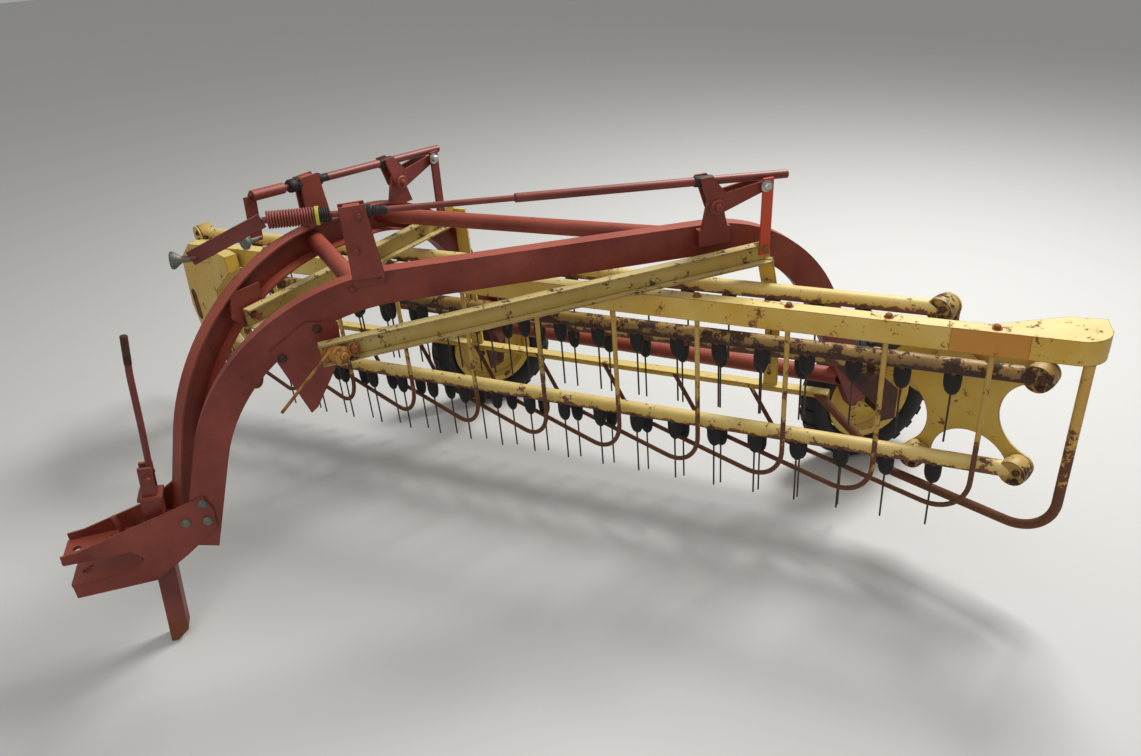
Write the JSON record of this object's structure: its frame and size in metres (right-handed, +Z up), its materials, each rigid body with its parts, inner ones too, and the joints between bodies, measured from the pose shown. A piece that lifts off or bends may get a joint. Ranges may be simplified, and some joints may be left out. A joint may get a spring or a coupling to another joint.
{
  "type": "side delivery rake",
  "caption": "Towed side delivery hay rake: arched channel frame on two wheels and a stand, with an oblique tined reel in a lifting basket.",
  "frame": {"origin": "centre of the hitch pin's holes, between the two tongues", "axes": "+X towards the machine's left, +Y rearward, +Z up along the hitch pin"},
  "size_m": [2.9285, 3.46, 1.5641],
  "materials": {
    "red_paint": "old red enamel with rust and chips",
    "yellow_paint": "faded yellow enamel with rust along edges",
    "rusty_steel": "dark rusty steel",
    "spring_steel": "dull worn spring steel",
    "tyre": "black rubber, dusty"
  },
  "bodies": {
    "frame": {"left_rail": "red_paint", "right_rail": "red_paint", "hitch_head": "red_paint", "front_cross_tube": "red_paint", "rear_cross_tube": "red_paint", "axle_tube": "red_paint", "left_axle": "rusty_steel", "right_axle": "rusty_steel", "brackets_left": "red_paint", "brackets_right": "red_paint"},
    "stand": {"stand_leg": "red_paint", "stand_lever": "red_paint"},
    "wheel_left": {"left_tyre": "tyre", "left_rim": "yellow_paint"},
    "wheel_right": {"right_tyre": "tyre", "right_rim": "yellow_paint"},
    "basket": {"front_beam": "yellow_paint", "rear_angle": "yellow_paint", "strippers": "yellow_paint", "end_tube_front": "yellow_paint", "end_tube_rear": "yellow_paint", "end_arm_front": "yellow_paint", "end_arm_rear": "yellow_paint", "lift_arm_left": "yellow_paint", "lift_arm_right": "yellow_paint", "hanger_left": "yellow_paint", "hanger_right": "yellow_paint"},
    "reel_front": {"head_front": "yellow_paint"},
    "reel_rear": {"head_rear": "yellow_paint"},
    "bar_1": {"tine_bar_1": "yellow_paint", "teeth_1": "spring_steel"},
    "bar_2": {"tine_bar_2": "yellow_paint", "teeth_2": "spring_steel"},
    "bar_3": {"tine_bar_3": "yellow_paint", "teeth_3": "spring_steel"},
    "bar_4": {"tine_bar_4": "yellow_paint", "teeth_4": "spring_steel"},
    "bar_5": {"tine_bar_5": "yellow_paint", "teeth_5": "spring_steel"},
    "crank_left": {"bell_crank_left": "red_paint"},
    "strap_left": {"strap_left": "red_paint"},
    "rod_left": {"lift_rod_left": "red_paint", "spring_left": "red_paint"},
    "crank_right": {"bell_crank_right": "red_paint"},
    "strap_right": {"strap_right": "red_paint"},
    "rod_right": {"lift_rod_right": "red_paint"}
  },
  "joints": [
    {"name": "wheel_left", "type": "hinge", "parent": "frame", "child": "wheel_left", "pos_m": [-0.095, 3.12, -0.12], "axis": [1, 0, 0], "continuous": true},
    {"name": "wheel_right", "type": "hinge", "parent": "frame", "child": "wheel_right", "pos_m": [-1.235, 1.7, -0.12], "axis": [1, 0, 0], "continuous": true},
    {"name": "stand_slide", "type": "slide", "parent": "frame", "child": "stand", "axis": [0, 0.1097, 0.994], "range_m": [0, 0.25]},
    {"name": "basket_lift", "type": "hinge", "parent": "frame", "child": "basket", "pos_m": [0.112, 0.978, 0.667], "axis": [0.8557, 0.5175, 0], "range_deg": [-2, 1]},
    {"name": "reel_spin", "type": "hinge", "parent": "basket", "child": "reel_rear", "pos_m": [0.55256, 3.05533, 0.26], "axis": [-0.4384, 0.8988, 0], "continuous": true},
    {"name": "reel_front_spin", "type": "hinge", "parent": "basket", "child": "reel_front", "pos_m": [-1.52008, 0.47156, 0.26], "axis": [-0.4384, 0.8988, 0], "continuous": true},
    {"name": "bar_turn_1", "type": "hinge", "parent": "reel_rear", "child": "bar_1", "pos_m": [0.81185, 3.13729, 0.43335], "axis": [-0.4384, 0.8988, 0], "continuous": true},
    {"name": "bar_turn_2", "type": "hinge", "parent": "reel_rear", "child": "bar_2", "pos_m": [0.49662, 2.98354, 0.56938], "axis": [-0.4384, 0.8988, 0], "continuous": true},
    {"name": "bar_turn_3", "type": "hinge", "parent": "reel_rear", "child": "bar_3", "pos_m": [0.28292, 2.87932, 0.27786], "axis": [-0.4384, 0.8988, 0], "continuous": true},
    {"name": "bar_turn_4", "type": "hinge", "parent": "reel_rear", "child": "bar_4", "pos_m": [0.46608, 2.96865, -0.03834], "axis": [-0.4384, 0.8988, 0], "continuous": true},
    {"name": "bar_turn_5", "type": "hinge", "parent": "reel_rear", "child": "bar_5", "pos_m": [0.79297, 3.12808, 0.05775], "axis": [-0.4384, 0.8988, 0], "continuous": true},
    {"name": "crank_left", "type": "hinge", "parent": "frame", "child": "crank_left", "pos_m": [0.085, 2.328, 0.92], "axis": [1, 0, 0], "range_deg": [-14.36, 7.28]},
    {"name": "strap_left", "type": "hinge", "parent": "basket", "child": "strap_left", "pos_m": [0.085, 2.502, 0.742], "axis": [1, 0, 0], "range_deg": [-0.25, 0.15]},
    {"name": "rod_left", "type": "slide", "parent": "frame", "child": "rod_left", "axis": [0, 0.9972, -0.075], "range_m": [-0.01187, 0.02275]},
    {"name": "crank_right", "type": "hinge", "parent": "frame", "child": "crank_right", "pos_m": [-0.77106, 1.34028, 0.92], "axis": [0.809, 0.5878, 0], "range_deg": [-10.42, 5.31]},
    {"name": "strap_right", "type": "hinge", "parent": "basket", "child": "strap_right", "pos_m": [-0.87333, 1.48105, 0.722], "axis": [0.809, 0.5878, 0], "range_deg": [-0.4, 0.75]},
    {"name": "rod_right", "type": "slide", "parent": "frame", "child": "rod_right", "axis": [-0.5859, 0.8065, -0.0795], "range_m": [-0.00887, 0.01674]}
  ],
  "couplings": [
    {"joint": "reel_front_spin", "follows": "reel_spin", "ratio": 1},
    {"joint": "bar_turn_1", "follows": "reel_spin", "ratio": -1},
    {"joint": "bar_turn_2", "follows": "reel_spin", "ratio": -1},
    {"joint": "bar_turn_3", "follows": "reel_spin", "ratio": -1},
    {"joint": "bar_turn_4", "follows": "reel_spin", "ratio": -1},
    {"joint": "bar_turn_5", "follows": "reel_spin", "ratio": -1},
    {"joint": "crank_left", "follows": "basket_lift", "ratio": 7.08},
    {"joint": "strap_left", "follows": "basket_lift", "ratio": 0.1},
    {"joint": "rod_left", "follows": "basket_lift", "m_per_rad": -0.623},
    {"joint": "crank_right", "follows": "basket_lift", "ratio": 5.11},
    {"joint": "strap_right", "follows": "basket_lift", "ratio": -0.35},
    {"joint": "rod_right", "follows": "basket_lift", "m_per_rad": -0.451}
  ]
}
